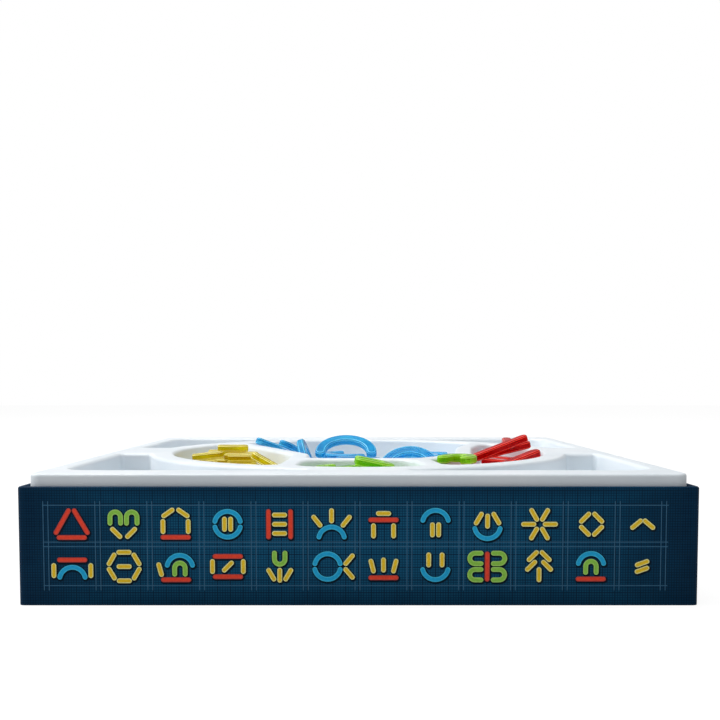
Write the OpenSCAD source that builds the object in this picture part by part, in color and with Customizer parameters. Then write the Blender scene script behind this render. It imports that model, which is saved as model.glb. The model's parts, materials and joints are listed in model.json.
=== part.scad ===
// Word-building board game, base half of the box: a wrapped chipboard box, a vacuum-formed
// tray with four corner pockets and a divided round well, and heaps of loose plastic strokes.
// Millimetres. X runs to the right, Y to the back, Z up. The origin is under the box's middle.

/* [Box] */
// Outside width of the box, left to right
box_w = 266; // [262:1:300]
// Outside depth of the box, front to back
box_d = 266; // [262:1:300]
// Height of the box walls
box_h = 46.5; // [36:0.5:70]
// Thickness of the chipboard
board_t = 1.8; // [1.2:0.1:2.6]
// Thickness of the printed paper around the walls
wrap_t = 0.25; // [0.15:0.05:0.4]
// Thickness of the paper under the floor
base_sheet_t = 0.25; // [0.15:0.05:0.5]
// How far the paper turns down inside the walls
turn_in = 14; // [6:1:25]
// Inside radius of the box's upright corners
corner_in_r = 0.3; // [0.1:0.1:2]
// Thickness of the paper tape that stays each corner
stay_t = 0.2; // [0.1:0.05:0.4]
// Length of a corner tape along each wall
stay_leg = 14; // [8:1:30]

/* [Leaflet] */
// Side of the folded rules leaflet
leaflet_w = 210; // [120:5:240]
// Thickness of one leaf
leaf_t = 0.3; // [0.15:0.05:0.6]

/* [Tray] */
// Height of the tray's top above the box walls
tray_proud = 4.7; // [2:0.1:10]
// Thickness of the formed sheet
sheet_t = 0.8; // [0.5:0.1:1.4]
// Room between the tray's foot and the box wall
tray_gap = 0.3; // [0.2:0.1:1]
// Draft of the tray's outer wall
skirt_draft = 0.6; // [0.3:0.1:1.2]
// Radius where the deck turns down into the outer wall
edge_r = 1.2; // [1:0.1:4]
// Radius of the tray's upright corners
tray_corner_r = 6; // [5.5:0.5:14]
// Radius of the lip round every well
lip_r = 1.8; // [1.5:0.1:2.2]
// Radius at the foot of every well
well_foot_r = 2.2; // [1.5:0.1:2.5]
// Draft of the well walls
well_draft = 2; // [1:0.5:3]

/* [Wells] */
// Radius of the round, divided well
well_r = 99; // [94:0.5:101]
// Depth of the divided well
well_depth = 14; // [12:0.5:20]
// Width of the dividers at the deck
divider_w = 5.6; // [5:0.1:8]
// Width of the deck between the round well and the corner pockets
ring_rim = 8; // [6:0.5:10]
// Depth of the corner pockets
pocket_depth = 30; // [15:1:40]
// Deck left outside the pockets at the sides
side_rim = 6.7; // [5:0.1:10]
// Deck left outside the pockets at the front and back
end_rim = 16.2; // [14:0.1:17]
// Half of the deck between the two front pockets, and between the two back ones
middle_rim = 20; // [14:1:24]
// Half of the deck between the two left pockets, and between the two right ones
flank_rim = 21; // [14:1:30]
// Radius of a pocket's outer corner
pocket_corner_r = 14; // [8:1:20]

/* [Pieces] */
// Width of every stroke piece
stroke_w = 5.6; // [4.5:0.1:6.5]
// Thickness of every stroke piece
stroke_t = 4; // [3:0.1:4.5]
// Chamfer along a piece's edges
stroke_chamfer = 0.7; // [0.3:0.1:1]
// Length of a short yellow bar
short_l = 16.5; // [14:0.5:20]
// Length of a long red bar
long_l = 33; // [28:0.5:36]
// Outside diameter of a blue half ring
ring_d = 34; // [30:0.5:36]
// Outside width of a green hook
hook_w = 17; // [15:0.5:19]
// Length of a green hook
hook_l = 18; // [15:0.5:21]
// Room between one layer of pieces and the next
lay_gap = 0.25; // [0.15:0.05:0.4]

/* [Hidden] */

$fn = 32;
navy = [0.03, 0.13, 0.22];
kraft_grey = [0.62, 0.6, 0.56];
paper_white = [0.93, 0.93, 0.91];
tray_white = [0.96, 0.97, 0.97];
yellow = [0.88, 0.78, 0.1, 0.85];
blue = [0.12, 0.55, 0.86, 0.85];
green = [0.5, 0.72, 0.12, 0.85];
red = [0.84, 0.1, 0.08, 0.85];

// Levels, from the table up
board_z = base_sheet_t;
floor_z = board_z + board_t;
deck_z = box_h + tray_proud;
layer_h = stroke_t + lay_gap;
heap_z = deck_z - well_depth + lay_gap;

// The wall's paper, board and paper, measured outwards from the corner's centre
wall_t = board_t + 2 * wrap_t;
box_corner_r = corner_in_r + wall_t;
wrap_top_r = 0.9;

tray_w = box_w - 2 * (wall_t + tray_gap);
tray_d = box_d - 2 * (wall_t + tray_gap);
skirt_in = (deck_z - floor_z) * tan(skirt_draft);

// Plan geometry: closed paths run anticlockwise, and a third value is a corner's radius
function xy(p) = [p.x, p.y];
function unit(v) = v / norm(v);
function turned(v, a) = [v.x * cos(a) - v.y * sin(a), v.x * sin(a) + v.y * cos(a)];
function polar(r, a) = [r * cos(a), r * sin(a)];
function at(path, i) = path[(i + len(path)) % len(path)];
function inward(a, b) = let (u = unit(b - a)) [-u.y, u.x];
function turn_at(a, p, b) =
  let (u = p - a, v = b - p) atan2(u.x * v.y - u.y * v.x, u * v);

// A path moved inwards by d, with mitred corners that keep their number
function inset(path, d) = [
  for (i = [0:len(path) - 1])
    let (
      p = xy(path[i]),
      n1 = inward(xy(at(path, i - 1)), p),
      n2 = inward(p, xy(at(path, i + 1))),
      q = p + d * (n1 + n2) / (1 + n1 * n2)
    )
      [q.x, q.y, path[i][2]]
];

// A path with an arc in place of every corner that has a radius
function round_corners(path, step = 18) = [
  for (i = [0:len(path) - 1])
    let (
      p = xy(path[i]),
      r = path[i][2],
      a = xy(at(path, i - 1)),
      b = xy(at(path, i + 1)),
      turn = turn_at(a, p, b)
    )
      each r <= 0 || abs(turn) < 1
        ? [p]
        : let (
            u = unit(p - a),
            start = p - u * r * tan(abs(turn) / 2),
            centre = start + sign(turn) * r * [-u.y, u.x],
            n = ceil(abs(turn) / (r < 5 ? 30 : step))
          )
            [for (k = [0:n]) centre + turned(start - centre, turn * k / n)]
];

function arc_path(r, from, to, step) =
  let (n = max(1, round(abs(to - from) / step)))
    [for (k = [0:n]) let (p = polar(r, from + (to - from) * k / n)) [p.x, p.y, 0]];

// Knots of the dividers' centre lines
ring_line_r = well_r + divider_w / 2;
knee_left = [-29.3, -24];
cross_left = [-29.3, -54];
cross_right = [29.8, -54];
elbow_right = [53.2, -27.5];
bend_right = [59.8, 25];
angle_upper_left = 136.8;
angle_lower_left = 251.5;
angle_lower_right = 290;
angle_upper_right = 44.2;
tip_r = 6.5;

function knot(p, r) = [p.x, p.y, r];
function ring_knot(a, r = tip_r) = knot(polar(ring_line_r, a), r);

// One compartment of the round well: its dividers' knots, then the well's own arc
function compartment(knots, from, to) =
  let (margin = 12)
    round_corners(inset(concat(knots, arc_path(ring_line_r, from + margin, to - margin, 9)),
                        divider_w / 2));

yellow_room = compartment(
  [ring_knot(angle_lower_left), knot(cross_left, 0), knot(knee_left, 18),
   ring_knot(angle_upper_left)],
  angle_upper_left, angle_lower_left
);
blue_room = compartment(
  [ring_knot(angle_upper_left), knot(knee_left, 22), knot(cross_left, 9),
   knot(cross_right, 9), knot(elbow_right, 14), knot(bend_right, 60),
   ring_knot(angle_upper_right)],
  angle_upper_right, angle_upper_left
);
green_room = compartment(
  [ring_knot(angle_lower_right, 12), knot(cross_right, 13), knot(cross_left, 13),
   ring_knot(angle_lower_left, 12)],
  angle_lower_left, angle_lower_right
);
red_room = compartment(
  [ring_knot(angle_upper_right), knot(bend_right, 60), knot(elbow_right, 9),
   knot(cross_right, 9), ring_knot(angle_lower_right)],
  angle_lower_right - 360, angle_upper_right
);

// The foot of the tray
tray_path = round_corners([
  for (q = [[1, -1], [1, 1], [-1, 1], [-1, -1]])
    [q.x * tray_w / 2, q.y * tray_d / 2, tray_corner_r]
]);

// The back right corner pocket: two straight sides and an arc round the well
pocket_r = well_r + ring_rim;
pocket_x = tray_w / 2 - side_rim;
pocket_y = tray_d / 2 - end_rim;
horn_r = min(4, 0.44 * (pocket_y - sqrt(pow(pocket_r, 2) - pow(middle_rim, 2))));
pocket_path = round_corners(concat(
  [
    [pocket_x, flank_rim, 4],
    [pocket_x, pocket_y, pocket_corner_r],
    [middle_rim, pocket_y, horn_r],
    [middle_rim, sqrt(pow(pocket_r, 2) - pow(middle_rim, 2)), horn_r]
  ],
  arc_path(pocket_r, 73, 17, 8),
  [[sqrt(pow(pocket_r, 2) - pow(flank_rim, 2)), flank_rim, 4]]
));

// Solids
module loft(rings, heights) {
  n = len(rings[0]);
  points = [for (k = [0:len(rings) - 1]) for (p = rings[k]) [p.x, p.y, heights[k]]];
  sides = [
    for (k = [0:len(rings) - 2], i = [0:n - 1])
      let (a = k * n + i, b = k * n + (i + 1) % n)
        each [[a, b, b + n], [a, b + n, a + n]]
  ];
  top = [for (i = [n - 1:-1:0]) i];
  bottom = [for (i = [0:n - 1]) (len(rings) - 1) * n + i];
  polyhedron(points, concat([top], sides, [bottom]), convexity = 6);
}

// [inset, depth] down the side of a well, on the face of the sheet or, with t, under it.
// The face starts above the deck and the underside inside it, so both cross it cleanly.
function well_profile(depth, t) =
  let (
    wall_in = lip_r + (depth - lip_r - well_foot_r) * tan(well_draft),
    lip = [for (a = [30:30:90]) lip_r * [sin(a), 1 - cos(a)]]
  )
    concat(
      t > 0 ? [[0, t / 2], [lip_r - t, lip_r]] : concat([-1.5 * lip[0]], lip),
      [
        for (a = [0:45:90])
          [wall_in, depth - well_foot_r] + well_foot_r * [1 - cos(a), sin(a)]
            + t * [-cos(a), sin(a)]
      ]
    );

module well(path, depth, t = 0) {
  profile = well_profile(depth, t);
  loft([for (p = profile) inset(path, p[0])], [for (p = profile) deck_z - p[1]]);
}

module every_well(t = 0) {
  for (path = [yellow_room, blue_room, green_room, red_room]) well(path, well_depth, t);
  for (mx = [0, 1], my = [0, 1])
    mirror([mx, 0, 0]) mirror([0, my, 0]) well(pocket_path, pocket_depth, t);
}

// The outside of the formed block, or with t the hollow under its sheet, in convex bands
module block(t = 0) {
  turn = [skirt_in + edge_r, deck_z - edge_r];
  levels = concat(
    [[t, t > 0 ? floor_z - 1 : floor_z]],
    [for (a = [0:30:90]) turn + (edge_r - t) * [-cos(a), sin(a)]]
  );
  for (i = [0:len(levels) - 2])
    let (high = levels[i + 1], low = levels[i])
      hull() loft([inset(tray_path, high[0]), inset(tray_path, low[0])], [high[1], low[1]]);
}

// A 2D section, drawn outwards from the corner's centre, swept round the box
module round_the_box() {
  x = box_w / 2 - box_corner_r;
  y = box_d / 2 - box_corner_r;
  for (side = [[0, x, y], [90, y, x], [180, x, y], [270, y, x]])
    rotate(side[0]) {
      translate([side[1], side[2], 0])
        rotate([90, 0, 0]) linear_extrude(2 * side[2]) children();
      translate([side[1], side[2], 0]) rotate_extrude(angle = 90) children();
    }
}

module wall_section(inner, thick, low, high, r) {
  translate([inner, low]) square([thick, high - low - r]);
  translate([inner + r, low]) square([thick - 2 * r, high - low]);
  for (x = [inner + r, inner + thick - r]) translate([x, high - r]) circle(r);
}

// The tape over one corner, let into the board's face; i counts the corners round the box
module corner_stay(i) {
  x = box_w / 2 - box_corner_r;
  y = box_d / 2 - box_corner_r;
  r = corner_in_r + wrap_t + board_t - stay_t;
  low = floor_z + 1;
  high = box_h - 4;
  mirror([floor(i / 2), 0, 0]) mirror([0, i % 2, 0]) translate([x, y, low]) {
    rotate_extrude(angle = 90) translate([r, 0]) square([stay_t, high - low]);
    translate([r, -stay_leg, 0]) cube([stay_t, stay_leg, high - low]);
    translate([-stay_leg, r, 0]) cube([stay_leg, stay_t, high - low]);
  }
}

// Outline of a stroke's cross-section, on the table
module stroke_section() {
  c = stroke_chamfer;
  w = stroke_w / 2;
  polygon([
    [-w + c, 0], [w - c, 0], [w, c], [w, stroke_t - c],
    [w - c, stroke_t], [-w + c, stroke_t], [-w, stroke_t - c], [-w, c]
  ]);
}

module stroke_end() {
  rotate_extrude() intersection() {
    stroke_section();
    square([stroke_w, stroke_t]);
  }
}

// A straight bar whose length runs along X from its foot end at 0
module bar(l) {
  r = stroke_w / 2;
  translate([r, 0, 0]) {
    stroke_end();
    rotate([90, 0, 90]) linear_extrude(l - stroke_w) stroke_section();
    translate([l - stroke_w, 0, 0]) stroke_end();
  }
}

// A half ring standing on its two ends along X, with its crown towards +Y
module half_ring() {
  r = (ring_d - stroke_w) / 2;
  translate([0, stroke_w / 2, 0]) {
    rotate_extrude(angle = 180) translate([r, 0]) stroke_section();
    for (x = [-r, r]) translate([x, 0, 0]) stroke_end();
  }
}

// A hook with two straight legs, its ends along X and its crown towards +Y
module hook() {
  r = (hook_w - stroke_w) / 2;
  leg = hook_l - stroke_w - r;
  translate([0, stroke_w / 2, 0]) {
    translate([0, leg, 0]) rotate_extrude(angle = 180) translate([r, 0]) stroke_section();
    for (x = [-r, r]) translate([x, 0, 0]) {
      stroke_end();
      translate([0, leg, 0]) rotate([90, 0, 0]) linear_extrude(leg) stroke_section();
    }
  }
}

// Centre lines of the pieces, about the middle of the shape, for laying them out
bar_line = function(l) [for (k = [-1:0.5:1]) [k * (l - stroke_w) / 2, 0]];
ring_line = [
  for (a = [0:30:180]) polar((ring_d - stroke_w) / 2, a) - [0, ring_d / 4]
];
hook_line = let (r = (hook_w - stroke_w) / 2, leg = hook_l - stroke_w - r)
  concat([[r, -hook_l / 4]],
         [for (a = [0:45:180]) polar(r, a) + [0, leg - hook_l / 4]],
         [[-r, -hook_l / 4]]);

function point_to_line(p, a, b) =
  let (ab = b - a, k = max(0, min(1, (p - a) * ab / (ab * ab)))) norm(p - a - k * ab);
function side_of(p, a, b) = sign((b.x - a.x) * (p.y - a.y) - (b.y - a.y) * (p.x - a.x));
function cross_over(a, b, c, d) =
  side_of(a, c, d) != side_of(b, c, d) && side_of(c, a, b) != side_of(d, a, b);
function line_gap(a, b, c, d) =
  cross_over(a, b, c, d)
    ? 0
    : min(point_to_line(a, c, d), point_to_line(b, c, d),
          point_to_line(c, a, b), point_to_line(d, a, b));
function lines_gap(one, other) =
  min([
    for (i = [0:len(one) - 2], j = [0:len(other) - 2])
      line_gap(one[i], one[i + 1], other[j], other[j + 1])
  ]);
function wall_gap(room, p) =
  min([for (i = [0:len(room) - 1]) point_to_line(p, room[i], at(room, i + 1))]);
function crossings(room, p) = [
  for (i = [0:len(room) - 1])
    let (a = room[i], b = at(room, i + 1))
      if ((a.y > p.y) != (b.y > p.y)
          && p.x < a.x + (p.y - a.y) * (b.x - a.x) / (b.y - a.y)) 1
];
function in_room(room, line, margin) =
  min([for (p = line) len(crossings(room, p)) % 2 == 1 ? wall_gap(room, p) : -1]) > margin;
function laid(line, place) = [for (p = line) xy(place) + turned(p, place[2])];
function apart(line, others, gap) =
  len(others) == 0 || min([for (o = others) lines_gap(line, o)]) > gap;

// Drops pieces one by one at seeded random places on one layer, keeping those that lie clear
function scatter(line, room, l, margin, k = 0, kept = [], lines = []) =
  let (spot = l[0], reach = l[1], want = l[2], seed = l[3], spread = l[4])
    len(kept) >= want || k >= 40 * want
      ? kept
      : let (
          r = rands(-1, 1, 3, seed + k),
          place = [spot.x + reach.x * r[0], spot.y + reach.y * r[1], spread * r[2]],
          line_here = laid(line, place),
          good = apart(line_here, lines, stroke_w + 0.5) && in_room(room, line_here, margin)
        )
          scatter(line, room, l, margin, k + 1, good ? concat(kept, [place]) : kept,
                  good ? concat(lines, [line_here]) : lines);

// Flat layers of pieces: each layer is [middle of the heap, its reach, pieces wanted, seed,
// largest turn]. Lines that are kept clear leave room for a piece that stands on the floor.
module heap(line, room, layers, clear = []) {
  margin = stroke_w / 2 + lip_r + well_foot_r + 1;
  for (k = [0:len(layers) - 1])
    for (place = scatter(line, room, layers[k], margin, lines = clear))
      translate([place.x, place.y, heap_z + k * layer_h]) rotate(place[2]) children();
}

// A piece leaning up from its foot end: place is [x, y], heading turns it, tilt lifts its far end
module leaning_bar(l, place, z, heading, tilt) {
  translate([place.x, place.y, z]) rotate([0, -tilt, heading]) bar(l);
}

module leaning(place, z, heading, tilt) {
  translate([place.x, place.y, z]) rotate([0, 0, heading]) rotate([tilt, 0, 0]) children();
}

// Height of the top of a heap's layer, counted from 1
function on_layer(n) = heap_z + n * layer_h;

// Box
module base_sheet() {
  w = box_w - 2 * wrap_t;
  d = box_d - 2 * wrap_t;
  r = box_corner_r - wrap_t;
  color(navy) linear_extrude(base_sheet_t) union() {
    square([w - 2 * r, d], center = true);
    square([w, d - 2 * r], center = true);
    for (sx = [-1, 1], sy = [-1, 1])
      translate([sx * (w / 2 - r), sy * (d / 2 - r)]) circle(r);
  }
}

module base_board() {
  w = box_w - 2 * (wrap_t + board_t);
  d = box_d - 2 * (wrap_t + board_t);
  color(kraft_grey) difference() {
    union() {
      translate([-w / 2 - board_t / 2, -d / 2 - board_t / 2, board_z])
        cube([w + board_t, d + board_t, board_t]);
      round_the_box()
        wall_section(corner_in_r + wrap_t, board_t, board_z, box_h - wrap_t,
                     wrap_top_r - wrap_t);
    }
    for (i = [0:3]) corner_stay(i);
  }
}

module corner_stays() {
  color(paper_white) for (i = [0:3]) corner_stay(i);
}

module printed_wrap() {
  color(navy) round_the_box() difference() {
    wall_section(corner_in_r, wall_t, 0, box_h, wrap_top_r);
    wall_section(corner_in_r + wrap_t, board_t, -1, box_h - wrap_t, wrap_top_r - wrap_t);
    translate([corner_in_r - 1, -1]) square([1 + wrap_t + board_t / 2, box_h - turn_in + 1]);
  }
}

module rules_leaflet() {
  fold_r = leaf_t + lay_gap / 2;
  color(paper_white) translate([0, 0, floor_z]) {
    translate([-leaflet_w / 2 + fold_r, -leaflet_w / 2, 0]) {
      cube([leaflet_w - fold_r, leaflet_w, leaf_t]);
      translate([0, 0, leaf_t + lay_gap]) cube([leaflet_w - fold_r, leaflet_w, leaf_t]);
      translate([0, leaflet_w, fold_r]) rotate([90, 0, 0]) linear_extrude(leaflet_w)
        difference() {
          circle(fold_r);
          circle(fold_r - leaf_t);
          translate([0, -fold_r]) square([fold_r, 2 * fold_r]);
        }
    }
  }
}

module formed_tray() {
  color(tray_white) difference() {
    union() {
      difference() {
        block();
        block(sheet_t);
      }
      every_well(sheet_t);
    }
    every_well();
  }
}

// Loose pieces, the heaps that lie flat first and then those that lean on them
module yellow_bar_heap() {
  color(yellow) heap(bar_line(short_l), yellow_room, [
    [[-71, 6], [24, 34], 14, 11, 14], [[-71, 4], [20, 24], 9, 21, 10],
    [[-60, 2], [4, 14], 4, 31, 8]
  ]) translate([-short_l / 2, 0, 0]) bar(short_l);
}

module blue_ring_heap() {
  color(blue) heap(ring_line, blue_room, [
    [[0, 20], [60, 60], 7, 12, 180], [[20, 46], [40, 28], 4, 22, 180]
  ], clear = [[[-28, -8], [-28, 28]], [[-33, 0], [-33, 20]]])
    translate([0, -ring_d / 4 - stroke_w / 2, 0]) half_ring();
}

module green_hook_heap() {
  color(green) heap(hook_line, green_room, [
    [[0, -76], [20, 14], 3, 13, 180], [[0, -76], [18, 12], 2, 23, 180],
    [[-11, -78], [2, 4], 1, 33, 180]
  ]) translate([0, -hook_l / 4 - stroke_w / 2, 0]) hook();
}

module red_bar_heap() {
  color(red) {
    heap(bar_line(long_l), red_room, [
      [[80, 2], [20, 52], 6, 14, 90], [[84, 18], [8, 22], 3, 24, 90]
    ]) translate([-long_l / 2, 0, 0]) bar(long_l);
    heap(bar_line(long_l), red_room, [
      [[50, -60], [8, 12], 1, 15, 180], [[50, -58], [8, 12], 2, 25, 180]
    ]) translate([-long_l / 2, 0, 0]) bar(long_l);
  }
}

module yellow_bar_1() { color(yellow) leaning_bar(short_l, [-88, -8], on_layer(2) - 0.05, 4, 6); }
module yellow_bar_2() { color(yellow) leaning_bar(short_l, [-76, 0], on_layer(3) + 0.1, 2, 0); }
module yellow_bar_3() { color(yellow) leaning_bar(short_l, [-42, -18], on_layer(1) - 1.1, 176, 29); }
module yellow_bar_4() { color(yellow) leaning_bar(short_l, [-85, 24], on_layer(2) + 0.05, -8, 0); }

module blue_ring_1() { color(blue) leaning([-7, 12], on_layer(2) - 0.25, 0, 28) half_ring(); }
module blue_ring_2() { color(blue) leaning([27, -4], on_layer(0) - 0.45, -8, 44) half_ring(); }
module blue_ring_3() { color(blue) leaning([-27.5, 10], on_layer(0) - 0.15, 90, 70) half_ring(); }
module blue_ring_4() { color(blue) leaning([-53, 34], on_layer(3) + 2, -56, -22) half_ring(); }
module blue_ring_5() { color(blue) leaning([19, -22], on_layer(1) - 0.1, 80, 12) half_ring(); }

module green_hook_1() { color(green) leaning([-2, -80], on_layer(3) + 0.3, -88, -12) hook(); }
module green_hook_2() { color(green) leaning([44, -62], on_layer(3) - 1.2, -25, 0) hook(); }

module red_bar_1() { color(red) leaning_bar(long_l, [61, -14], on_layer(2) + 0.35, 20, 18); }
module red_bar_2() { color(red) leaning_bar(long_l, [62, -3], on_layer(2) - 0.35, 12, 12); }
module red_bar_3() { color(red) leaning_bar(long_l, [77, -40], on_layer(1), 62, 9); }
module red_bar_4() { color(red) leaning_bar(long_l, [84, 14], on_layer(3) - 0.7, 84, 4); }
module red_bar_5() { color(red) leaning_bar(long_l, [66, -52], on_layer(1) + 1.9, 40, 12); }

base_sheet();
base_board();
corner_stays();
printed_wrap();
rules_leaflet();
formed_tray();
yellow_bar_heap();
blue_ring_heap();
green_hook_heap();
red_bar_heap();
yellow_bar_1();
yellow_bar_2();
yellow_bar_3();
yellow_bar_4();
blue_ring_1();
blue_ring_2();
blue_ring_3();
blue_ring_4();
blue_ring_5();
green_hook_1();
green_hook_2();
red_bar_1();
red_bar_2();
red_bar_3();
red_bar_4();
red_bar_5();
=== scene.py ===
"""Looks of a board game box base: a wrapped chipboard box, a white vacuum-formed tray and
loose tinted strokes. X runs right, Y to the back, Z up. Sizes are written in millimetres."""

import bmesh
import bpy
import json
import math
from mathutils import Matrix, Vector
from mathutils.geometry import tessellate_polygon

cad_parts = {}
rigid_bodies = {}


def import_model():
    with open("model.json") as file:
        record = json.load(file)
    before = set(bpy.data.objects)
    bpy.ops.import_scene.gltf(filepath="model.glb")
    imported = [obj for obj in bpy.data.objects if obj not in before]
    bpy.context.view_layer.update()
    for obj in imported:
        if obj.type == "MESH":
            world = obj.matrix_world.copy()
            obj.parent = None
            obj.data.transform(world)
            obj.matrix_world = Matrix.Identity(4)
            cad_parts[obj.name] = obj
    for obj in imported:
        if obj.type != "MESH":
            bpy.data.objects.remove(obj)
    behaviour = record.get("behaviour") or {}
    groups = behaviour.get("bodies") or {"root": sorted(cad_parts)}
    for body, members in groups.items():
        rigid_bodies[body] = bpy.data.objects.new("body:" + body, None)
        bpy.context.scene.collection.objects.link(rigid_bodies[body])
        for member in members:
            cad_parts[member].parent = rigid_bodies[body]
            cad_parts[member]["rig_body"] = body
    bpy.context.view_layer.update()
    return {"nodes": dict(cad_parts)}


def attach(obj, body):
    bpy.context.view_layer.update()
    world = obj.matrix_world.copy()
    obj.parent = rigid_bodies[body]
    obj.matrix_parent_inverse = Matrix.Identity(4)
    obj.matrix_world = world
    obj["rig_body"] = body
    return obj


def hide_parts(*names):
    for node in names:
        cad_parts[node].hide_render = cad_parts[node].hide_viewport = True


MM = 0.001

# Box
BOX = 266.0
BOX_H = 46.5
FLOOR_Z = 2.05
WRAP_IN = 0.12  # the printed skin lies this far inside the solid, which leaves room for ink

# Tray
DECK_Z = 51.2
TRAY = 260.8
TRAY_CORNER_R = 6.0
EDGE_R = 1.2
SKIRT_DRAFT = 0.6
SHEET_T = 0.8
LIP_R = 1.8
FOOT_R = 2.2
WELL_DRAFT = 2.0
WELL_R = 99.0
WELL_DEPTH = 14.0
DIVIDER = 5.6
RING_RIM = 8.0
POCKET_DEPTH = 30.0
SIDE_RIM = 6.7
END_RIM = 16.2
MIDDLE_RIM = 20.0
FLANK_RIM = 21.0
POCKET_CORNER_R = 14.0

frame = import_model()


# Small tools


def linear(hex_colour):
    """An sRGB hex colour as the linear RGBA that Blender's sockets take."""
    def channel(c):
        return c / 12.92 if c <= 0.04045 else ((c + 0.055) / 1.055) ** 2.4

    value = hex_colour.lstrip("#")
    return tuple(channel(int(value[i:i + 2], 16) / 255) for i in (0, 2, 4)) + (1.0,)


def add(tree, kind, links=None, **settings):
    """Adds a node, sets its properties and input values, and links inputs to other sockets."""
    node = tree.nodes.new(kind)
    for key, value in settings.items():
        setattr(node, key, value)
    for key, value in (links or {}).items():
        socket = node.inputs[key]
        if isinstance(value, bpy.types.NodeSocket):
            tree.links.new(value, socket)
        else:
            socket.default_value = value
    return node


def material(name, colour, **principled):
    """A Principled material, its node tree and its shader, ready for a pattern."""
    mat = bpy.data.materials.new(name)
    mat.use_nodes = True
    tree = mat.node_tree
    shader = tree.nodes["Principled BSDF"]
    shader.inputs["Base Color"].default_value = linear(colour)
    mat.diffuse_color = linear(colour)
    for key, value in principled.items():
        shader.inputs[key.replace("_", " ")].default_value = value
    return mat, tree, shader


def millimetres(tree):
    """Object coordinates turned to millimetres."""
    place = add(tree, "ShaderNodeTexCoord")
    return add(tree, "ShaderNodeVectorMath", {0: place.outputs["Object"], "Scale": 1 / MM},
               operation="SCALE").outputs[0]


def blend(tree, factor, first, second, mode="MIX"):
    """Mixes two colours, each a socket or an RGBA."""
    return add(tree, "ShaderNodeMix", {0: factor, 6: first, 7: second}, data_type="RGBA",
               blend_type=mode).outputs[2]


def calc(tree, operation, first, second=0.0, **settings):
    """The result of one sum, on sockets or numbers."""
    return add(tree, "ShaderNodeMath", {0: first, 1: second}, operation=operation,
               **settings).outputs[0]


def remap(tree, value, from_range=(0.0, 1.0), to_range=(0.0, 1.0)):
    """A value carried over, and held, from one range to another."""
    return add(tree, "ShaderNodeMapRange",
               {"Value": value, "From Min": from_range[0], "From Max": from_range[1],
                "To Min": to_range[0], "To Max": to_range[1]}).outputs[0]


def noise(tree, place, scale, detail):
    """Soft noise, whose scale is in features to a millimetre."""
    return add(tree, "ShaderNodeTexNoise",
               {"Vector": place, "Scale": scale, "Detail": detail}).outputs[0]


def colour_between(tree, shader, factor, first, second):
    """Lets the base colour run between two hex colours."""
    tree.links.new(blend(tree, factor, linear(first), linear(second)),
                   shader.inputs["Base Color"])


def bump(tree, shader, height, strength, distance_mm):
    """Roughens the surface without moving it."""
    node = add(tree, "ShaderNodeBump",
               {"Height": height, "Strength": strength, "Distance": distance_mm * MM})
    tree.links.new(node.outputs[0], shader.inputs["Normal"])


def mesh_piece(name, points, faces, mats, indices=None):
    """A mesh object from points in millimetres, at the world origin."""
    mesh = bpy.data.meshes.new(name)
    mesh.from_pydata([[c * MM for c in p] for p in points], [], faces)
    for mat in mats if isinstance(mats, (list, tuple)) else [mats]:
        mesh.materials.append(mat)
    if indices:
        mesh.polygons.foreach_set("material_index", indices)
    obj = bpy.data.objects.new(name, mesh)
    bpy.context.scene.collection.objects.link(obj)
    return obj


def apply_modifiers(obj):
    """Puts the result of the modifiers into the object's own mesh."""
    bpy.context.view_layer.update()
    graph = bpy.context.evaluated_depsgraph_get()
    mesh = bpy.data.meshes.new_from_object(obj.evaluated_get(graph))
    obj.modifiers.clear()
    obj.data = mesh


def smooth_by_angle(obj, degrees):
    """Shades smoothly, but for edges sharper than the angle."""
    obj.data.polygons.foreach_set("use_smooth", [True] * len(obj.data.polygons))
    obj.data.set_sharp_from_angle(angle=math.radians(degrees))


# Plan geometry, on closed paths that run anticlockwise


def turn_between(a, p, b):
    """The angle in degrees that a path from a to b turns at p, to the left above 0."""
    u, v = p - a, b - p
    return math.degrees(math.atan2(u.x * v.y - u.y * v.x, u.dot(v)))


def rotated(v, degrees):
    a = math.radians(degrees)
    return Vector((v.x * math.cos(a) - v.y * math.sin(a), v.x * math.sin(a) + v.y * math.cos(a)))


def polar(r, degrees):
    return Vector((r * math.cos(math.radians(degrees)), r * math.sin(math.radians(degrees))))


def inset(path, d):
    """A path of (point, radius) moved inwards by d with mitred corners."""
    result = []
    n = len(path)
    for i in range(n):
        a, p, b = path[i - 1][0], path[i][0], path[(i + 1) % n][0]
        u, v = (p - a).normalized(), (b - p).normalized()
        n1, n2 = Vector((-u.y, u.x)), Vector((-v.y, v.x))
        result.append((p + d * (n1 + n2) / (1 + n1.dot(n2)), path[i][1]))
    return result


def round_corners(path, step=6):
    """The path with a fine arc in place of every corner that has a radius."""
    result = []
    n = len(path)
    for i in range(n):
        a, (p, r), b = path[i - 1][0], path[i], path[(i + 1) % n][0]
        turn = turn_between(a, p, b)
        if r <= 0 or abs(turn) < 1:
            result.append((p, 0))
            continue
        u = (p - a).normalized()
        start = p - u * r * math.tan(math.radians(abs(turn) / 2))
        centre = start + math.copysign(r, turn) * Vector((-u.y, u.x))
        count = max(2, math.ceil(abs(turn) / step))
        for k in range(count + 1):
            result.append((centre + rotated(start - centre, turn * k / count), 0))
    return result


def arc_path(r, start, end, step):
    """Points on an arc round the origin, about step degrees apart."""
    count = max(1, round(abs(end - start) / step))
    return [(polar(r, start + (end - start) * k / count), 0) for k in range(count + 1)]


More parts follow.
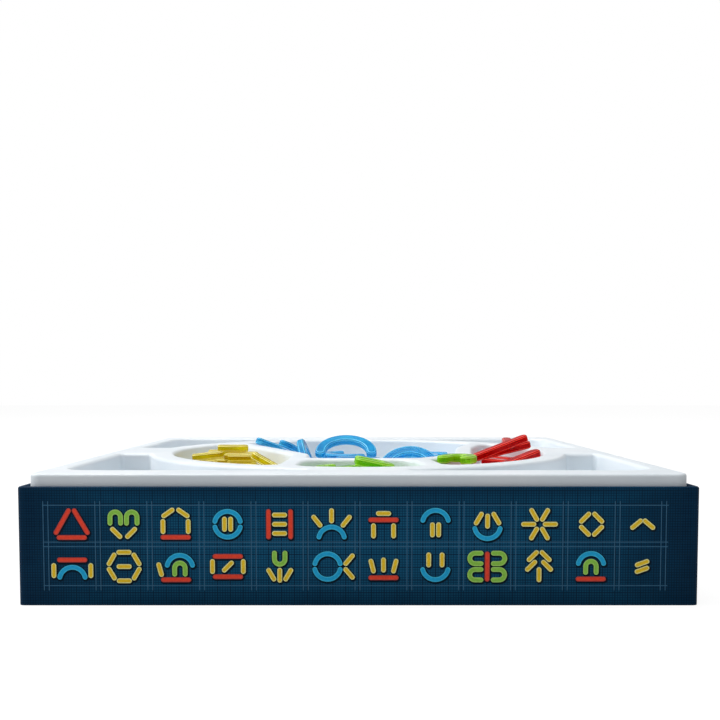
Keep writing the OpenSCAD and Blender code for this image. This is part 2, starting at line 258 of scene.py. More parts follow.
# The dividers' knots, as in the solid
RING_LINE_R = WELL_R + DIVIDER / 2
KNEE_LEFT = Vector((-29.3, -24))
CROSS_LEFT = Vector((-29.3, -54))
CROSS_RIGHT = Vector((29.8, -54))
ELBOW_RIGHT = Vector((53.2, -27.5))
BEND_RIGHT = Vector((59.8, 25))
UPPER_LEFT, LOWER_LEFT, LOWER_RIGHT, UPPER_RIGHT = 136.8, 251.5, 290, 44.2
TIP_R = 6.5
ARC_STEP = 3  # degrees between the points of a well's long arcs
ARC_MARGIN = 12  # degrees of the arc that each of its rounded ends takes up


def compartment(knots, start, end):
    """One compartment, from its dividers' knots and the angles where they meet the rim."""
    arc = arc_path(RING_LINE_R, start + ARC_MARGIN, end - ARC_MARGIN, ARC_STEP)
    return round_corners(inset(knots + arc, DIVIDER / 2))


def rim_knot(angle, r=TIP_R):
    """Where a divider meets the rim, with the radius of the corner there."""
    return polar(RING_LINE_R, angle), r


def round_well():
    """The four compartments of the divided well."""
    return [
        compartment([rim_knot(LOWER_LEFT), (CROSS_LEFT, 0), (KNEE_LEFT, 18),
                     rim_knot(UPPER_LEFT)], UPPER_LEFT, LOWER_LEFT),
        compartment([rim_knot(UPPER_LEFT), (KNEE_LEFT, 22), (CROSS_LEFT, 9), (CROSS_RIGHT, 9),
                     (ELBOW_RIGHT, 14), (BEND_RIGHT, 60), rim_knot(UPPER_RIGHT)],
                    UPPER_RIGHT, UPPER_LEFT),
        compartment([rim_knot(LOWER_RIGHT, 12), (CROSS_RIGHT, 13), (CROSS_LEFT, 13),
                     rim_knot(LOWER_LEFT, 12)], LOWER_LEFT, LOWER_RIGHT),
        compartment([rim_knot(UPPER_RIGHT), (BEND_RIGHT, 60), (ELBOW_RIGHT, 9), (CROSS_RIGHT, 9),
                     rim_knot(LOWER_RIGHT)], LOWER_RIGHT - 360, UPPER_RIGHT),
    ]


POCKET_HORN_R = 4.0  # radius at the ends of a pocket's two arms
HORN_SHARE = 0.44  # the most of an arm's width that its rounded end takes
POCKET_ARC = (76, 14)  # degrees where a pocket's long arc starts and ends


def corner_pockets():
    """The back right pocket and its three mirror images."""
    r = WELL_R + RING_RIM
    x, y = TRAY / 2 - SIDE_RIM, TRAY / 2 - END_RIM
    arc_y, arc_x = math.sqrt(r * r - MIDDLE_RIM ** 2), math.sqrt(r * r - FLANK_RIM ** 2)
    horn = min(POCKET_HORN_R, HORN_SHARE * (y - arc_y))
    path = round_corners(
        [(Vector((x, FLANK_RIM)), POCKET_HORN_R), (Vector((x, y)), POCKET_CORNER_R),
         (Vector((MIDDLE_RIM, y)), horn), (Vector((MIDDLE_RIM, arc_y)), horn)]
        + arc_path(r, *POCKET_ARC, ARC_STEP) + [(Vector((arc_x, FLANK_RIM)), POCKET_HORN_R)])
    pockets = []
    for sx in (1, -1):
        for sy in (1, -1):
            copy = [(Vector((p.x * sx, p.y * sy)), 0) for p, _ in path]
            pockets.append(copy if sx * sy > 0 else copy[::-1])
    return pockets


# Formed tray

LIP_STEP, EDGE_STEP = 15, 10  # degrees between the points of a lip or foot, and of the edge
TRAY_SMOOTH = 32


def quarter_turn(r, step):
    """(sideways, downwards) along a quarter of a circle that starts out level."""
    return [(r * math.sin(math.radians(a)), r * (1 - math.cos(math.radians(a))))
            for a in range(0, 91, step)]


def well_profile(depth):
    """(inset, depth) from the deck down to the foot of a well."""
    wall = LIP_R + (depth - LIP_R - FOOT_R) * math.tan(math.radians(WELL_DRAFT))
    foot = [(wall + out, depth - FOOT_R + down) for down, out in quarter_turn(FOOT_R, LIP_STEP)]
    return quarter_turn(LIP_R, LIP_STEP) + foot


def skirt_profile():
    """(inset, height) from the tray's foot up round its top edge."""
    draft = (DECK_Z - FLOOR_Z) * math.tan(math.radians(SKIRT_DRAFT))
    return [(0, FLOOR_Z)] + [(draft + side, DECK_Z - EDGE_R + up)
                             for up, side in quarter_turn(EDGE_R, EDGE_STEP)]


def ring_of(path, d, z, points):
    """Adds the path, moved inwards by d, at a height; gives its points' numbers."""
    first = len(points)
    points.extend((p.x, p.y, z) for p, _ in inset(path, d))
    return list(range(first, len(points)))


def strip(first, second, faces):
    """Joins two rings of equal count by four-sided faces."""
    n = len(first)
    for i in range(n):
        j = (i + 1) % n
        faces.append((first[i], first[j], second[j], second[i]))


def fill(loops, points, faces):
    """Fills the area between the first loop and the others, which are holes."""
    order = [i for loop in loops for i in loop]
    for triangle in tessellate_polygon([[Vector(points[i]) for i in loop] for loop in loops]):
        a, b, c = (order[k] for k in triangle)
        pa, pb, pc = Vector(points[a]), Vector(points[b]), Vector(points[c])
        normal = (pb - pa).cross(pc - pa).z
        faces.append((a, b, c) if normal > 0 else (a, c, b))


def tray_surface():
    """The upper face of the formed sheet: the skirt, every well and the deck between them."""
    points, faces = [], []
    outline = round_corners([(Vector((sx * TRAY / 2, sy * TRAY / 2)), TRAY_CORNER_R)
                             for sx, sy in ((1, -1), (1, 1), (-1, 1), (-1, -1))])
    rings = [ring_of(outline, d, z, points) for d, z in skirt_profile()]
    for lower, upper in zip(rings, rings[1:]):
        strip(lower, upper, faces)
    holes = [rings[-1]]
    for paths, depth in ((round_well(), WELL_DEPTH), (corner_pockets(), POCKET_DEPTH)):
        for path in paths:
            wall = [ring_of(path, d, DECK_Z - drop, points) for d, drop in well_profile(depth)]
            for upper, lower in zip(wall, wall[1:]):
                strip(upper, lower, faces)
            fill([wall[-1]], points, faces)
            holes.append(wall[0])
    fill(holes, points, faces)
    return points, faces


def turn_faces_up(mesh):
    """Makes all faces agree, with the deck's own pointing up."""
    bm = bmesh.new()
    bm.from_mesh(mesh)
    bmesh.ops.recalc_face_normals(bm, faces=bm.faces)
    top = max(bm.faces, key=lambda f: f.calc_center_median().z)
    if top.normal.z < 0:
        bmesh.ops.reverse_faces(bm, faces=bm.faces)
    bm.to_mesh(mesh)
    bm.free()


def formed_tray(mat):
    """The tray, as one surface that is thickened to the sheet."""
    points, faces = tray_surface()
    tray = mesh_piece("formed_tray_shell", points, faces, mat)
    turn_faces_up(tray.data)
    thick = tray.modifiers.new("sheet", "SOLIDIFY")
    thick.thickness = SHEET_T * MM
    thick.offset = -1
    apply_modifiers(tray)
    smooth_by_angle(tray, TRAY_SMOOTH)
    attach(tray, "tray")
    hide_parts("formed_tray")


# Materials

MOST_NOISE = (0.35, 0.65)  # the range in which most of a noise's values lie
LITHO_FILM = {"Roughness": 0.45, "IOR": 1.5, "Specular_IOR_Level": 0.06}
STYRENE_IOR = 1.59
TONE_HALF_H = 26  # height above and below a wall's middle at which its print is darkest


def vacuum_formed_polystyrene():
    """High-impact polystyrene sheet, vacuum formed: milky white with a soft, slightly
    orange-peeled gloss where it drew over the mould."""
    mat, tree, shader = material("vacuum_formed_white_polystyrene", "#EEF4F9",
                                 Roughness=0.38, IOR=STYRENE_IOR, Specular_IOR_Level=0.4)
    place = millimetres(tree)
    cloud = noise(tree, place, 0.03, 2.0)
    tree.links.new(remap(tree, cloud, to_range=(0.33, 0.45)), shader.inputs["Roughness"])
    colour_between(tree, shader, remap(tree, cloud, MOST_NOISE), "#EAF2F8", "#EFF5FA")
    bump(tree, shader, noise(tree, place, 0.9, 3.0), 0.08, 0.15)
    return mat


def wall_coordinates(tree, place):
    """How far along its wall, and how high, a point lies."""
    part = add(tree, "ShaderNodeSeparateXYZ", {0: place})
    turn = add(tree, "ShaderNodeNewGeometry")
    face = add(tree, "ShaderNodeSeparateXYZ", {0: turn.outputs["True Normal"]})
    on_side = calc(tree, "GREATER_THAN", calc(tree, "ABSOLUTE", face.outputs["X"]), 0.7)
    along = add(tree, "ShaderNodeMix", {0: on_side, 2: part.outputs["X"],
                                        3: part.outputs["Y"]}, data_type="FLOAT")
    return along.outputs[0], part.outputs["Z"]


def graph_lines(tree, along, up, half_pitch, width):
    """1 on the lines of a square grid and 0 between them."""
    def lines(value):
        shifted = calc(tree, "ADD", value, 1000 * half_pitch)
        there = calc(tree, "PINGPONG", shifted, half_pitch)
        return remap(tree, there, (width * 0.6, width * 1.3), (1.0, 0.0))

    return calc(tree, "MAXIMUM", lines(along), lines(up))


def nearness_to_edges(tree, along, up):
    """0 in the middle of a wall and 1 at its ends, its top and its foot."""
    away = calc(tree, "MULTIPLY", along, 2 / BOX)
    away = calc(tree, "MULTIPLY", away, away)
    centre = calc(tree, "ADD", up, -BOX_H / 2)
    centre = calc(tree, "MULTIPLY", centre, 1 / TONE_HALF_H)
    centre = calc(tree, "MULTIPLY", centre, centre)
    return remap(tree, calc(tree, "MAXIMUM", away, centre), (0.15, 0.95))


def litho_print():
    """Litho paper under a thin satin film: navy graph paper with a 1 mm and a 5 mm grid, teal
    in the middle of each wall and darker towards its edges."""
    mat, tree, shader = material("satin_litho_paper_blueprint", "#0B2F48", **LITHO_FILM)
    place = millimetres(tree)
    along, up = wall_coordinates(tree, place)
    worn = remap(tree, noise(tree, place, 0.045, 3.0), (0.3, 0.7), (-0.12, 0.12))
    edge = calc(tree, "ADD", nearness_to_edges(tree, along, up), worn, use_clamp=True)
    ground = blend(tree, edge, linear("#145A80"), linear("#04314F"))
    line = blend(tree, edge, linear("#083A57"), linear("#021F36"))
    ink = blend(tree, graph_lines(tree, along, up, 0.5, 0.14), ground, line)
    ink = blend(tree, graph_lines(tree, along, up, 2.5, 0.2), ink, linear("#072A42"))
    tree.links.new(ink, shader.inputs["Base Color"])
    bump(tree, shader, noise(tree, place, 1.6, 4.0), 0.05, 0.05)
    return mat


def recycled_chipboard():
    """Grey recycled board: matt, with short fibres and dark and pale flecks."""
    mat, tree, shader = material("grey_recycled_chipboard", "#9A948A", Roughness=0.9, IOR=1.4)
    fleck = noise(tree, millimetres(tree), 1.1, 5.0)
    colour_between(tree, shader, remap(tree, fleck, (0.38, 0.62)), "#857F75", "#A8A297")
    bump(tree, shader, fleck, 0.25, 0.15)
    return mat


def paper(name, pale, dark):
    """Uncoated paper: matt, with a faint cloudy formation of its fibres."""
    mat, tree, shader = material(name, pale, Roughness=0.8, IOR=1.45)
    cloud = noise(tree, millimetres(tree), 0.5, 5.0)
    colour_between(tree, shader, remap(tree, cloud, MOST_NOISE), dark, pale)
    bump(tree, shader, cloud, 0.12, 0.05)
    return mat


def tinted_styrene(name, colour, deep, tint):
    """Crystal polystyrene, tinted in the mass and injection moulded: glossy and see-through,
    with light that takes on the tint on its way, and fuller in tone along its edges."""
    mat, tree, shader = material(name, colour, Roughness=0.12, IOR=STYRENE_IOR,
                                 Specular_IOR_Level=0.2)
    flow = noise(tree, millimetres(tree), 0.12, 2.0)
    colour_between(tree, shader, remap(tree, flow, MOST_NOISE), deep, colour)
    bump(tree, shader, flow, 0.05, 0.3)
    facing = add(tree, "ShaderNodeLayerWeight", {"Blend": 0.3})
    body = remap(tree, facing.outputs["Facing"], to_range=(0.3, 0.85))
    through = add(tree, "ShaderNodeBsdfTransparent", {"Color": linear(tint)})
    both = add(tree, "ShaderNodeMixShader", {0: body, 1: through.outputs[0],
                                             2: shader.outputs[0]})
    tree.links.new(both.outputs[0], tree.nodes["Material Output"].inputs["Surface"])
    return mat


def painted_edge_highlight(name, colour):
    """The rounded edges of the same plastic: glossier, and painted paler as a highlight for the
    light they would gather.
    """
    mat, tree, shader = material(name, colour, Roughness=0.08, IOR=STYRENE_IOR,
                                 Specular_IOR_Level=0.3)
    bump(tree, shader, noise(tree, millimetres(tree), 0.4, 1.0), 0.04, 0.2)
    return mat


def printing_ink(name, colour):
    """Flat litho ink under the same satin film, with a trace of the paper's mottle."""
    mat, tree, shader = material(name, colour, **LITHO_FILM)
    mottle = noise(tree, millimetres(tree), 1.5, 2.0)
    amount = remap(tree, mottle, (0.3, 0.7), (0.9, 1.06))
    grey = add(tree, "ShaderNodeCombineXYZ", {0: amount, 1: amount, 2: amount})
    tree.links.new(blend(tree, 1.0, linear(colour), grey.outputs[0], "MULTIPLY"),
                   shader.inputs["Base Color"])
    return mat


# Printed figures: small pictures laid from the set's own four strokes, at 0.357 of their size
SHORT, LONG, STROKE = 5.9, 11.8, 1.9
RING_R, RING_START = 5.05, 13
HOOK_R, HOOK_CROWN, HOOK_FOOT = 2.05, 0.15, -2.2


def stroke_line(kind):
    """The centre line of a stroke about its middle."""
    if kind in ("short", "long"):
        half = ((SHORT if kind == "short" else LONG) - STROKE) / 2
        return [Vector((-half, 0)), Vector((half, 0))]
    if kind == "ring":
        return [polar(RING_R, a) - Vector((0, RING_R / 2))
                for a in range(RING_START, 181 - RING_START, 7)]
    crown = [polar(HOOK_R, a) + Vector((0, HOOK_CROWN)) for a in range(0, 181, 15)]
    return [Vector((HOOK_R, HOOK_FOOT))] + crown + [Vector((-HOOK_R, HOOK_FOOT))]


def ribbon(line, width):
    """The outline of a stroke with round ends about a line."""
    half = width / 2
    left, right = [], []
    for i, p in enumerate(line):
        ahead = line[min(i + 1, len(line) - 1)] - line[max(i - 1, 0)]
        across = Vector((-ahead.y, ahead.x)).normalized() * half
        left.append(p + across)
        right.append(p - across)
    end, start = line[-1], line[0]
    cap_end = [end + rotated(left[-1] - end, -a) for a in range(20, 180, 20)]
    cap_start = [start + rotated(right[0] - start, -a) for a in range(20, 180, 20)]
    return left + cap_end + right[::-1] + cap_start


def regular(kind, count, r, turn=0, spin=90):
    """Strokes round a centre, each turned with its place."""
    return [(kind, *polar(r, turn + 360 * k / count), turn + 360 * k / count + spin)
            for k in range(count)]


FIGURES = {
    "triangle": [("long", 0, -5.2, 0), ("long", -3.6, 1, 60), ("long", 3.6, 1, 120)],
    "heart": [("hook", -3.2, 2.6, 0), ("hook", 3.2, 2.6, 0), ("short", -2.9, -3.4, -45),
              ("short", 2.9, -3.4, 45)],
    "house": [("long", 0, -5.1, 0), ("short", -4.9, -0.9, 90), ("short", 4.9, -0.9, 90),
              ("short", -2.9, 4.4, 35), ("short", 2.9, 4.4, -35)],
    "button": [("ring", 0, 2.5, 0), ("ring", 0, -2.5, 180), ("short", -1.2, 0, 90),
               ("short", 1.2, 0, 90)],
    "ladder": [("long", -4.3, 0, 90), ("long", 4.3, 0, 90), ("short", 0, 3.6, 0),
               ("short", 0, 0, 0), ("short", 0, -3.6, 0)],
    "sunrise": [("ring", 0, -3.6, 0), ("short", 0, 3.3, 90), ("short", -5.7, 1.2, 128),
                ("short", 5.7, 1.2, 52)],
    "table": [("long", 0, 1.7, 0), ("short", -3.9, -2.6, 90), ("short", 3.9, -2.6, 90),
              ("short", 0, 4.2, 0)],
    "mushroom": [("ring", 0, 2.9, 0), ("short", -1.2, -2.2, 90), ("short", 1.2, -2.2, 90)],
    "boat": [("ring", 0, -3.1, 180), ("short", 0, 1.2, 90), ("short", -3.4, 2.2, 60),
             ("short", 3.4, 2.2, 120)],
    "spark": regular("short", 6, 4.2, 0, 0),
    "diamond": regular("short", 4, 3.6, 45),
    "bridge": [("ring", 0, -2.8, 0), ("long", 0, 2.6, 0), ("short", -7.2, -1.6, 90),
               ("short", 7.2, -1.6, 90)],
    "nut": regular("short", 6, 5.6, 30) + [("short", 0, 0, 0)],
    "snail": [("ring", 1.5, 1.9, 0), ("hook", 1.5, -0.8, 0), ("long", 0, -5.2, 0),
              ("short", -6.2, -1.2, 105)],
    "ticket": [("long", 0, 4, 0), ("long", 0, -4, 0), ("short", -6, 0, 90),
               ("short", 6, 0, 90), ("short", 0, 0, 45)],
    "tulip": [("hook", 0, 3.1, 180), ("short", 0, -3.4, 90), ("short", -3.3, -3.2, 120),
              ("short", 3.3, -3.2, 60)],
    "fish": [("ring", -1.6, 2.5, 0), ("ring", -1.6, -2.5, 180), ("short", 6.8, 2.7, 50),
             ("short", 6.8, -2.7, 130)],
    "rainbow": [("ring", 0, 2.6, 0), ("hook", 0, -0.1, 0), ("long", 0, -4.9, 0)],
    "smile": [("ring", 0, -2.6, 180), ("short", -2.6, 2.6, 90), ("short", 2.6, 2.6, 90)],
    "butterfly": [("hook", -4.6, 3.2, 90), ("hook", 4.6, 3.2, -90), ("hook", -4.6, -3.2, 90),
                  ("hook", 4.6, -3.2, -90), ("long", 0, 0, 90)],
    "crown": [("long", 0, -4.4, 0), ("short", -4.4, 0.2, 104), ("short", 0, 0.6, 90),
              ("short", 4.4, 0.2, 76)],
    "pine": [("short", -2.5, 4.1, 45), ("short", 2.5, 4.1, 135), ("short", -3.1, 0.3, 45),
             ("short", 3.1, 0.3, 135), ("short", 0, -3.2, 90)],
}
ROWS = [
    ["triangle", "heart", "house", "button", "ladder", "sunrise", "table", "mushroom",
     "boat", "spark", "diamond"],
    ["bridge", "nut", "snail", "ticket", "tulip", "fish", "crown", "smile", "butterfly", "pine",
     "rainbow"],
]
END_MARKS = ([("short", -2.4, 0, 40), ("short", 2.4, 0, -40)],
             [("short", 0, 1.3, 20), ("short", 0, -1.3, 20)])
STROKE_INK = {"short": 2, "long": 0, "ring": 4, "hook": 6}  # the core's; the outline's is next
SHADOW_INK = 8
SHADOW_SHIFT, SHADOW_SPREAD = Vector((0.25, -0.35)), 0.9
OUTLINE_W = 0.75  # how much narrower the core is than the whole stroke
SHADOW_LIFT, OUTLINE_LIFT, CORE_LIFT = 0.01, 0.03, 0.05
PRINT_Y = -(BOX / 2 - WRAP_IN)  # the face of the front wall's print
CELL, FIRST_CELL, END_CELL = 20.2, -121.6, 110.4
ROW_Z = (BOX_H - 14.6, BOX_H - 31.2)


def printed_figures(inks):
    """Thin ink films on the front wall: a soft dark edge, the outline and the core."""
    points, faces, slots = [], [], []

    def lay(line, width, lift, slot):
        outline = ribbon(line, width)
        first = len(points)
        points.extend((p.x, PRINT_Y - lift, p.y) for p in outline)
        for a, b, c in tessellate_polygon([[Vector((p.x, p.y, 0)) for p in outline]]):
            pa, pb, pc = outline[a], outline[b], outline[c]
            turn = (pb - pa).cross(pc - pa) > 0
            faces.append([first + k for k in ((a, b, c) if turn else (a, c, b))])
            slots.append(slot)

    def figure(strokes, centre):
        for kind, x, y, angle in strokes:
            line = [rotated(p, angle) + Vector((x, y)) + centre for p in stroke_line(kind)]
            ink = STROKE_INK[kind]
            lay([p + SHADOW_SHIFT for p in line], STROKE + SHADOW_SPREAD, SHADOW_LIFT,
                SHADOW_INK)
            lay(line, STROKE, OUTLINE_LIFT, ink + 1)
            lay(line, STROKE - OUTLINE_W, CORE_LIFT, ink)

    for names, z in zip(ROWS, ROW_Z):
        for i, name in enumerate(names):
            figure(FIGURES[name], Vector((FIRST_CELL + (i + 0.5) * CELL, z)))
    for mark, z in zip(END_MARKS, ROW_Z):
        figure(mark, Vector((END_CELL, z)))
    obj = mesh_piece("printed_figures", points, faces, inks, slots)
    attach(obj, "box")


# Printed rules and cell borders
RULE_W = 0.32
PAIR_GAP = 1.9
RULE_LIFT, BORDER_LIFT = 0.006, 0.008
RULE_ENDS = (-122.8, 120.4)
RULE_Z = [BOX_H - drop for drop in (7.2, 21.6, 23.4, 38.7)]
BORDER_DROPS = ((5.6, 22.6), (22.6, 40.6))  # top and bottom of each row's borders
END_BORDER_X, END_BORDER_Z, END_BORDER_LENGTH = 118.6, BOX_H - 23.1, 35


def ruled_lines_tree():
    """Geometry Nodes: a row of thin upright lines in pairs, as a draughtsman's cell borders."""
    tree = bpy.data.node_groups.new("cell_border_lines", "GeometryNodeTree")
    face = tree.interface
    for name in ("Pitch", "Pair Gap", "Line Width", "Line Length"):
        face.new_socket(name, in_out="INPUT", socket_type="NodeSocketFloat")
    face.new_socket("Count", in_out="INPUT", socket_type="NodeSocketInt")
    face.new_socket("Ink", in_out="INPUT", socket_type="NodeSocketMaterial")
    face.new_socket("Geometry", in_out="OUTPUT", socket_type="NodeSocketGeometry")
    into = tree.nodes.new("NodeGroupInput").outputs
    out = tree.nodes.new("NodeGroupOutput")
    pitch = add(tree, "ShaderNodeCombineXYZ", {"X": into["Pitch"]})
    row = add(tree, "GeometryNodeMeshLine", {"Count": into["Count"], "Offset": pitch.outputs[0]})
    sheet = add(tree, "GeometryNodeMeshGrid", {"Size X": into["Line Width"],
                                               "Size Y": into["Line Length"],
                                               "Vertices X": 2, "Vertices Y": 2})
    half = calc(tree, "MULTIPLY", into["Pair Gap"], 0.5)
    right = add(tree, "ShaderNodeCombineXYZ", {"X": half})
    left = add(tree, "ShaderNodeCombineXYZ", {"X": calc(tree, "MULTIPLY", half, -1.0)})
    pair = add(tree, "GeometryNodeJoinGeometry")
    for side in (right, left):
        moved = add(tree, "GeometryNodeTransform", {"Geometry": sheet.outputs[0],
                                                    "Translation": side.outputs[0]})
        tree.links.new(moved.outputs[0], pair.inputs[0])
    spread = add(tree, "GeometryNodeInstanceOnPoints", {"Points": row.outputs[0],
                                                        "Instance": pair.outputs[0]})
    upright = add(tree, "GeometryNodeTransform",
                  {"Geometry": spread.outputs[0], "Rotation": (math.pi / 2, 0, 0)})
    real = add(tree, "GeometryNodeRealizeInstances", {0: upright.outputs[0]})
    inked = add(tree, "GeometryNodeSetMaterial", {"Geometry": real.outputs[0],
                                                  "Material": into["Ink"]})
    tree.links.new(inked.outputs[0], out.inputs[0])
    return tree


def border_lines(tree, ink, name, place, count, length, turn):
    """A row of upright line pairs, a cell apart; place is the first pair's middle."""
    obj = mesh_piece(name, [(0, 0, 0)], [], ink)
    lines = obj.modifiers.new("lines", "NODES")
    lines.node_group = tree
    values = {"Pitch": CELL * MM, "Pair Gap": PAIR_GAP * MM, "Line Width": RULE_W * MM,
              "Line Length": length * MM, "Count": count, "Ink": ink}
    for item in tree.interface.items_tree:
        if item.in_out == "INPUT":
            lines[item.identifier] = values[item.name]
    apply_modifiers(obj)
    for vertex in obj.data.vertices:
        x, y, z = (c / MM for c in vertex.co)
        spot = rotated(Vector((x + place[0], y + place[1])), turn)
        vertex.co = (spot.x * MM, spot.y * MM, (z + place[2]) * MM)
    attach(obj, "box")


def long_rules(ink, name, turn):
    """Thin rules along a wall; the wall is named by its turn from the front."""
    points, faces = [], []
    start, end = RULE_ENDS
    half = RULE_W / 2
    for z in RULE_Z:
        first = len(points)
        for x, dz in ((start, -half), (end, -half), (end, half), (start, half)):
            spot = rotated(Vector((x, PRINT_Y - RULE_LIFT)), turn)
            points.append((spot.x, spot.y, z + dz))
        faces.append(tuple(range(first, first + 4)))
    obj = mesh_piece(name, points, faces, ink)
    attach(obj, "box")


def construction_lines(ink):
    """The rules and the cell borders, alike on all four walls."""
    tree = ruled_lines_tree()
    front = PRINT_Y - BORDER_LIFT
    for wall, turn in (("front", 0), ("right", 90), ("back", 180), ("left", 270)):
        long_rules(ink, f"{wall}_long_rules", turn)
        for row, (top, bottom) in enumerate(BORDER_DROPS):
            place = (FIRST_CELL, front, BOX_H - (top + bottom) / 2)
            border_lines(tree, ink, f"{wall}_row_{row + 1}_borders", place, len(ROWS[0]) + 1,
                         bottom - top, turn)
        border_lines(tree, ink, f"{wall}_end_border", (END_BORDER_X, front, END_BORDER_Z), 1,
                     END_BORDER_LENGTH, turn)


# Copies of the solids

WELD = 2e-6  # points closer than this many metres are one
FLAT_WITHIN = 0.5  # degrees between faces that are merged
BEVEL_OVER = 38  # degrees from which an edge is rounded
PIECE_BEVEL = 0.24
PIECE_SMOOTH, WRAP_SMOOTH = 50, 30


def merged_copy(mesh):
    """A copy of a solid's mesh, welded, with its flat areas merged."""
    mesh = mesh.copy()
    mesh.materials.clear()
    bm = bmesh.new()
    bm.from_mesh(mesh)
    bmesh.ops.remove_doubles(bm, verts=bm.verts, dist=WELD)
    bmesh.ops.dissolve_limit(bm, angle_limit=math.radians(FLAT_WITHIN), verts=bm.verts,
                             edges=bm.edges)
    bm.to_mesh(mesh)
    bm.free()
    return mesh


def round_edges(obj):
    """Bevels the sharp edges, with the second material, the painted edge highlight, on them."""
    bevel = obj.modifiers.new("edge", "BEVEL")
    bevel.width = PIECE_BEVEL * MM
    bevel.segments = 2
    bevel.limit_method = "ANGLE"
    bevel.angle_limit = math.radians(BEVEL_OVER)
    bevel.material = 1
    apply_modifiers(obj)


def stand_for(obj, node):
    """Lets the copy stand in for the solid, on the same body."""
    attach(obj, frame["nodes"][node]["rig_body"])
    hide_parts(node)


def copy_of(name, node, mats):
    """A new object with a merged copy of the solid's mesh."""
    mesh = merged_copy(frame["nodes"][node].data)
    for mat in mats:
        mesh.materials.append(mat)
    obj = bpy.data.objects.new(name, mesh)
    bpy.context.scene.collection.objects.link(obj)
    return obj


def wrap_skin(mat):
    """The printed wrap, drawn in a little so that the ink lies inside the solid."""
    obj = copy_of("printed_wrap_skin", "printed_wrap", [mat])
    shrink = 1 - 2 * WRAP_IN / BOX
    for vertex in obj.data.vertices:
        vertex.co.x *= shrink
        vertex.co.y *= shrink
    smooth_by_angle(obj, WRAP_SMOOTH)
    stand_for(obj, "printed_wrap")


def moulded_strokes(node, mat, edge):
    """One node's strokes with softly rounded edges, which carry the painted edge highlight."""
    obj = copy_of(f"{node}_strokes", node, [mat, edge])
    round_edges(obj)
    smooth_by_angle(obj, PIECE_SMOOTH)
    obj.modifiers.new("flat_faces_stay_flat", "WEIGHTED_NORMAL").keep_sharp = True
    apply_modifiers(obj)
    stand_for(obj, node)


PAPERS = {
    "base_sheet": ("dark_blue_floor_paper", "#0D3049", "#0A2A41"),
    "corner_stays": ("gummed_kraft_tape", "#C9B68C", "#B7A378"),
    "rules_leaflet": ("uncoated_offset_paper", "#F0EFEA", "#E6E5DF"),
}
INKS = (  # a core and an outline for each kind of stroke, and the shadow
    ("ink_red", "#FF4F3A"), ("ink_red_edge", "#D8544A"),
    ("ink_yellow", "#FFD434"), ("ink_yellow_edge", "#FFFBA8"),
    ("ink_blue", "#28B4EC"), ("ink_blue_edge", "#45C8F2"),
    ("ink_green", "#99D855"), ("ink_green_edge", "#B6E878"),
    ("ink_shadow", "#041C2C"),
)
PLASTICS = {  # the body, its deeper streaks, the light that comes through, and the painted highlight on the edges
    "yellow": ("#E8D408", "#CCB000", "#FAF040", "#FFFAA0"),
    "blue": ("#10B4EC", "#0490D0", "#A0E8FC", "#6CD4FC"),
    "green": ("#A4E81C", "#84C810", "#D0F858", "#BCF058"),
    "red": ("#DC0C10", "#A8040C", "#EC2420", "#FF4838"),
}


def build_box():
    """The wrap's copy, the other solids' own materials, and the print."""
    wrap_skin(litho_print())
    finishes = {"base_board": recycled_chipboard()}
    finishes.update((node, paper(*looks)) for node, looks in PAPERS.items())
    for node, mat in finishes.items():
        cad = frame["nodes"][node]
        cad.data.materials.clear()
        cad.data.materials.append(mat)
    printed_figures([printing_ink(*ink) for ink in INKS])
    construction_lines(printing_ink("ink_pale_rule", "#3F6C8C"))


def build_pieces():
    """Every stroke, in the heaps and by itself."""
    finishes = {colour: tinted_styrene(f"tinted_styrene_{colour}", body, deep, tint)
                for colour, (body, deep, tint, _) in PLASTICS.items()}
    # the paler edge colours are painted highlights for the rounded edges
    edges = {colour: painted_edge_highlight(f"painted_edge_highlight_{colour}", looks[3])
             for colour, looks in PLASTICS.items()}
    for node in sorted(frame["nodes"]):
        colour = node.split("_")[0]
        if colour in PLASTICS:
            moulded_strokes(node, finishes[colour], edges[colour])


# Stage

FLOOR_HALF = 4000
FLOOR_DROP = 0.05
FLOOR_GLOW, FLOOR_GLOW_SHARE = 1.3, 0.7
WORLD_LIGHT, WORLD_SEEN = 0.38, 1.0
AIM = (0, 0, 0.03)
LAMPS = (  # name, place and size in metres, power in watts
    ("key_above", (-0.5, 0.25, 1.5), 1.4, 23),
    ("left_fill", (-1.6, 0.1, 0.7), 0.9, 9),
    ("front_fill", (0.3, -1.7, 0.8), 1.2, 0.5),
)
CAMERA_PLACE = (0, -0.470, 0.08445)
CAMERA_DOWN = 3.07
LENS, SENSOR = 43.69, 36
SHIFT = (0.002, 0.105)


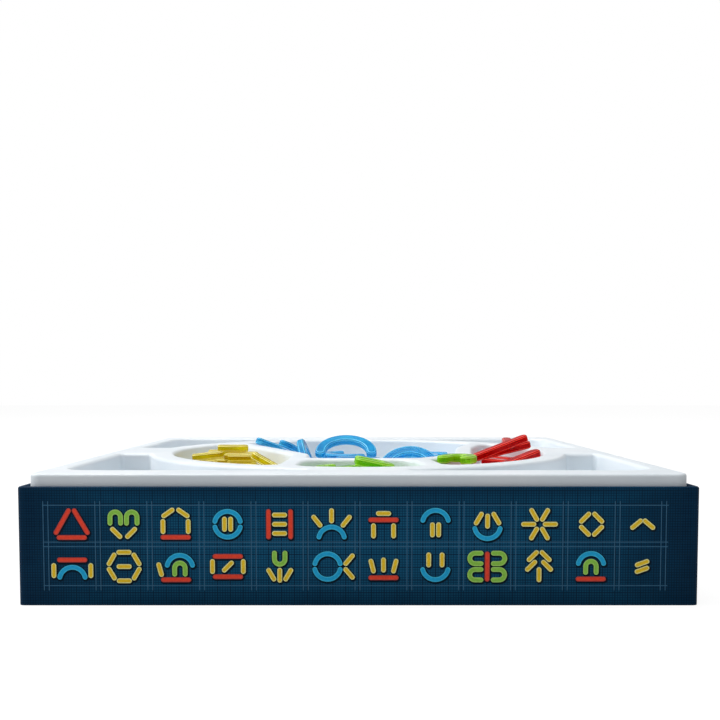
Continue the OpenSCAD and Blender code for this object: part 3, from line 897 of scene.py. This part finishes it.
def pale_floor():
    """A matt, pale floor that looks white to the camera but keeps the shadow."""
    mat, tree, shader = material("pale_floor", "#C4C4C4", Roughness=0.9)
    ray = add(tree, "ShaderNodeLightPath")
    seen = calc(tree, "MULTIPLY", ray.outputs["Is Camera Ray"], FLOOR_GLOW_SHARE)
    glow = add(tree, "ShaderNodeEmission", {"Color": (1, 1, 1, 1), "Strength": FLOOR_GLOW})
    mixed = add(tree, "ShaderNodeMixShader", {0: seen, 1: shader.outputs[0],
                                              2: glow.outputs[0]})
    tree.links.new(mixed.outputs[0], tree.nodes["Material Output"].inputs["Surface"])
    return mat


def white_surround(scene):
    """A world that is white to look at and lights the object less than that."""
    world = bpy.data.worlds.new("studio")
    scene.world = world
    world.use_nodes = True
    tree = world.node_tree
    ray = add(tree, "ShaderNodeLightPath")
    level = remap(tree, ray.outputs["Is Camera Ray"], to_range=(WORLD_LIGHT, WORLD_SEEN))
    ground = tree.nodes["Background"]
    ground.inputs["Color"].default_value = (1, 1, 1, 1)
    tree.links.new(level, ground.inputs["Strength"])


def lamp(name, place, size, power):
    """A square area lamp that points at the object's middle."""
    light = bpy.data.lights.new(name, "AREA")
    light.shape = "SQUARE"
    light.size = size
    light.energy = power
    obj = bpy.data.objects.new(name, light)
    obj.location = place
    aim = Vector(AIM) - Vector(place)
    obj.rotation_euler = aim.to_track_quat("-Z", "Y").to_euler()
    bpy.context.scene.collection.objects.link(obj)


def build_stage():
    """A pale floor, a white surround, and soft light from above and from the left."""
    scene = bpy.context.scene
    scene.view_settings.view_transform = "Standard"
    half, z = FLOOR_HALF, -FLOOR_DROP
    mesh_piece("studio_floor", [(-half, -half, z), (half, -half, z), (half, half, z),
                                         (-half, half, z)], [(0, 1, 2, 3)], pale_floor())
    white_surround(scene)
    for lamp_values in LAMPS:
        lamp(*lamp_values)


def build_camera():
    """The photograph's view: almost level with the box's top, straight on."""
    data = bpy.data.cameras.new("camera")
    data.sensor_width = SENSOR
    data.lens = LENS
    data.shift_x, data.shift_y = SHIFT
    data.clip_start = 0.01
    obj = bpy.data.objects.new("camera", data)
    obj.location = CAMERA_PLACE
    obj.rotation_euler = (math.radians(90 - CAMERA_DOWN), 0, 0)
    bpy.context.scene.collection.objects.link(obj)
    bpy.context.scene.camera = obj


build_camera()
build_box()
formed_tray(vacuum_formed_polystyrene())
build_pieces()
build_stage()
